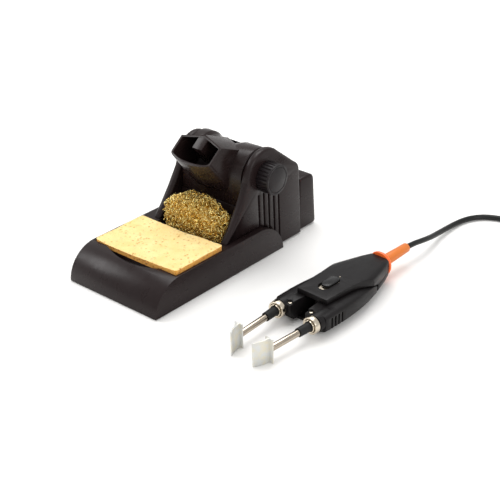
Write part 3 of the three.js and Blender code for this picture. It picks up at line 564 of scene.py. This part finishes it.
def curlTree(name, material):
    # curls: small spirals of flat ribbon set at random over a surface
    tree = bpy.data.node_groups.new(name, "GeometryNodeTree")
    face = tree.interface
    face.new_socket("Geometry", in_out="INPUT", socket_type="NodeSocketGeometry")
    for label, kind, value in (
        ("Curls", "NodeSocketInt", 400), ("Curl radius", "NodeSocketFloat", 0.003),
        ("Rise", "NodeSocketFloat", 0.006), ("Turns", "NodeSocketFloat", 2.0),
        ("Ribbon width", "NodeSocketFloat", 0.0008), ("Ribbon thickness", "NodeSocketFloat", 0.0002),
        ("Steps", "NodeSocketInt", 24), ("Seed", "NodeSocketInt", 1),
    ):
        face.new_socket(label, in_out="INPUT", socket_type=kind).default_value = value
    face.new_socket("Geometry", in_out="OUTPUT", socket_type="NodeSocketGeometry")
    inputs = add(tree, "NodeGroupInput").outputs
    faceArea = add(tree, "GeometryNodeInputMeshFaceArea").outputs["Area"]
    area = add(tree, "GeometryNodeAttributeStatistic", {"Geometry": inputs["Geometry"], "Attribute": faceArea},
               domain="FACE").outputs["Sum"]
    density = add(tree, "ShaderNodeMath", {0: inputs["Curls"], 1: area}, operation="DIVIDE").outputs[0]
    points = add(tree, "GeometryNodeDistributePointsOnFaces",
                 {"Mesh": inputs["Geometry"], "Density": density, "Seed": inputs["Seed"]})
    endRadius = add(tree, "ShaderNodeMath", {0: inputs["Curl radius"], 1: 0.8}, operation="MULTIPLY").outputs[0]
    spiral = add(tree, "GeometryNodeCurveSpiral",
                 {"Resolution": inputs["Steps"], "Rotations": inputs["Turns"], "Height": inputs["Rise"],
                  "Start Radius": inputs["Curl radius"], "End Radius": endRadius})
    half = add(tree, "ShaderNodeMath", {0: inputs["Rise"], 1: -0.5}, operation="MULTIPLY").outputs[0]
    lift = add(tree, "ShaderNodeCombineXYZ", {"Z": half}).outputs[0]
    centred = add(tree, "GeometryNodeTransform", {"Geometry": spiral.outputs["Curve"], "Translation": lift})
    anyTurn = {"Min": (0, 0, 0), "Max": (6.283, 3.14, 6.283), "Seed": inputs["Seed"]}
    turn = add(tree, "FunctionNodeRandomValue", anyTurn, data_type="FLOAT_VECTOR")
    anySize = {"Min": (0.55, 0.55, 0.5), "Max": (1.25, 1.25, 1.35), "Seed": inputs["Seed"]}
    size = add(tree, "FunctionNodeRandomValue", anySize, data_type="FLOAT_VECTOR")
    turned = add(tree, "FunctionNodeEulerToRotation", {"Euler": turn.outputs[0]}).outputs[0]
    curls = add(tree, "GeometryNodeInstanceOnPoints",
                {"Points": points.outputs["Points"], "Instance": centred.outputs["Geometry"],
                 "Rotation": turned, "Scale": size.outputs[0]})
    real = add(tree, "GeometryNodeRealizeInstances", {"Geometry": curls.outputs["Instances"]})
    section = add(tree, "GeometryNodeCurvePrimitiveQuadrilateral",
                  {"Width": inputs["Ribbon width"], "Height": inputs["Ribbon thickness"]})
    ribbon = add(tree, "GeometryNodeCurveToMesh",
                 {"Curve": real.outputs["Geometry"], "Profile Curve": section.outputs["Curve"], "Fill Caps": True})
    shaded = add(tree, "GeometryNodeSetMaterial", {"Geometry": ribbon.outputs["Mesh"], "Material": material})
    add(tree, "NodeGroupOutput", {"Geometry": shaded.outputs["Geometry"]})
    return tree


def setInput(modifier, label, value):
    for item in modifier.node_group.interface.items_tree:
        if item.item_type == "SOCKET" and item.in_out == "INPUT" and item.name == label:
            modifier[item.identifier] = value


def makeWool():
    mound = newObject("woolCurls", moundMesh(), wool)
    modifier = mound.modifiers.new("curls", "NODES")
    modifier.node_group = curlTree("woolCurlTree", wool)
    values = {
        "Curls": brassWool["curls"], "Curl radius": brassWool["curlRadius"] * mm,
        "Rise": brassWool["rise"] * mm, "Turns": brassWool["turns"],
        "Ribbon width": brassWool["ribbonWidth"] * mm, "Ribbon thickness": brassWool["ribbonThick"] * mm,
        "Steps": brassWool["stepsEach"], "Seed": brassWool["seed"],
    }
    for label, value in values.items():
        setInput(modifier, label, value)
    bakeModifiers(mound)
    standsFor(mound, "brass_wool")
    core = newObject("woolCore", moundMesh(), wool)
    low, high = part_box("brass_wool")
    centre = (low + high) / 2
    shrink = Matrix.Scale(brassWool["coreScale"], 4)
    core.data.transform(Matrix.Translation(centre) @ shrink @ Matrix.Translation(-centre))
    smoothByAngle(core.data, 60)
    standsFor(core, "brass_wool")
    print("wool triangles", sum(len(p.vertices) - 2 for p in mound.data.polygons))


makeWool()


# ---- tweezers ----
tweezersEdges = {   # node: (piece, material, edge rounding)
    "top_cover": ("topCover", softBlack, 0.5),
    "bottom_cover": ("bottomCover", softBlack, 0.5),
    "slider_plate": ("sliderPlate", nickel, 0.1),
    "slider_button": ("sliderButton", glossBlack, 0.7),
    "indicator_dot": ("indicatorDot", nickel, 0.25),
    "rear_ring": ("rearRing", ringOrange, 0.35),
    "strain_relief": ("strainRelief", orangePlastic, 0.4),
    "plug_relief": ("plugRelief", blackRubber, 0.5),
    "plug_body": ("plugBody", softBlack, 1.0),
    "plug_shell": ("plugShell", nickel, 0.4),
}
for side in ("left", "right"):
    tweezersEdges.update({
        f"{side}_arm": (f"{side}Arm", softBlack, 0.45),
        f"{side}_pivot_pin": (f"{side}PivotPin", plainSteel, 0.15),
        f"{side}_arm_screw": (f"{side}ArmScrew", nickel, 0.15),
        f"{side}_collar": (f"{side}Collar", nickel, 0.3),
        f"{side}_collar_ring": (f"{side}CollarRing", nickel, 0.15),
        f"{side}_sleeve": (f"{side}Sleeve", blackRubber, 0.25),
        f"{side}_tube": (f"{side}Tube", tubeSteel, 0.25),
        f"{side}_tip": (f"{side}Blade", blade, 0.12),
    })
for node, (name, material, edge) in tweezersEdges.items():
    softEdged(node, name, material, edge)
print("tweezers made")


# ---- cord ----
def makeCord():
    curve = bpy.data.curves.new("cordSheath", "CURVE")
    curve.dimensions = "3D"
    curve.bevel_depth = cord["diameter"] / 2 * mm
    curve.bevel_resolution = 3
    curve.use_fill_caps = True
    spline = curve.splines.new("POLY")
    spline.points.add(len(cordLine) - 1)
    for point, place in zip(spline.points, cordLine):
        point.co = (*(inStand(*place)), 1)
    spline.use_smooth = True
    curve.materials.append(cordSheath)
    obj = bpy.data.objects.new("cordSheath", curve)
    bpy.context.scene.collection.objects.link(obj)
    standsFor(obj, "cord", "cord_coil")


makeCord()
print("cord made")


# ---- floor and light ----
studio = {
    "floor": "f4f3f1", "floorHalf": 6, "world": 0.72,
    "softboxes": {   # place, what it looks at, size, power
        "topSoftbox": ((-0.25, 0.35, 1.3), (0, 0, 0.03), 0.9, 12),
        "leftSoftbox": ((-1.1, -0.5, 0.8), (0, 0, 0.05), 0.6, 6),
        "rightSoftbox": ((1.2, -0.2, 0.7), (0, 0, 0.05), 0.5, 4),
    },
}


def areaLight(name, place, target, size, power):
    data = bpy.data.lights.new(name, "AREA")
    data.energy, data.size = power, size
    obj = bpy.data.objects.new(name, data)
    bpy.context.scene.collection.objects.link(obj)
    obj.location = place
    obj.rotation_mode = "QUATERNION"
    obj.rotation_quaternion = (Vector(target) - Vector(place)).to_track_quat("-Z", "Y")


def makeStudio():
    mat, tree, shader = startMaterial("paleFloor")
    shader.inputs["Base Color"].default_value = linearColour(studio["floor"])
    shader.inputs["Roughness"].default_value = 0.9
    shader.inputs["Specular IOR Level"].default_value = 0.1
    h = studio["floorHalf"]
    corners = [(-h, -h, 0), (h, -h, 0), (h, h, 0), (-h, h, 0)]
    floor = newObject("paleFloor", meshFrom("paleFloor", corners, [(0, 1, 2, 3)]), mat)
    world = bpy.data.worlds.new("softRoom")
    world.use_nodes = True
    world.node_tree.nodes["Background"].inputs["Color"].default_value = (1, 1, 1, 1)
    world.node_tree.nodes["Background"].inputs["Strength"].default_value = studio["world"]
    bpy.context.scene.world = world
    for name, (place, target, size, power) in studio["softboxes"].items():
        areaLight(name, place, target, size, power)
    view = bpy.context.scene.view_settings
    view.view_transform = "Standard"


makeStudio()
print("studio made")
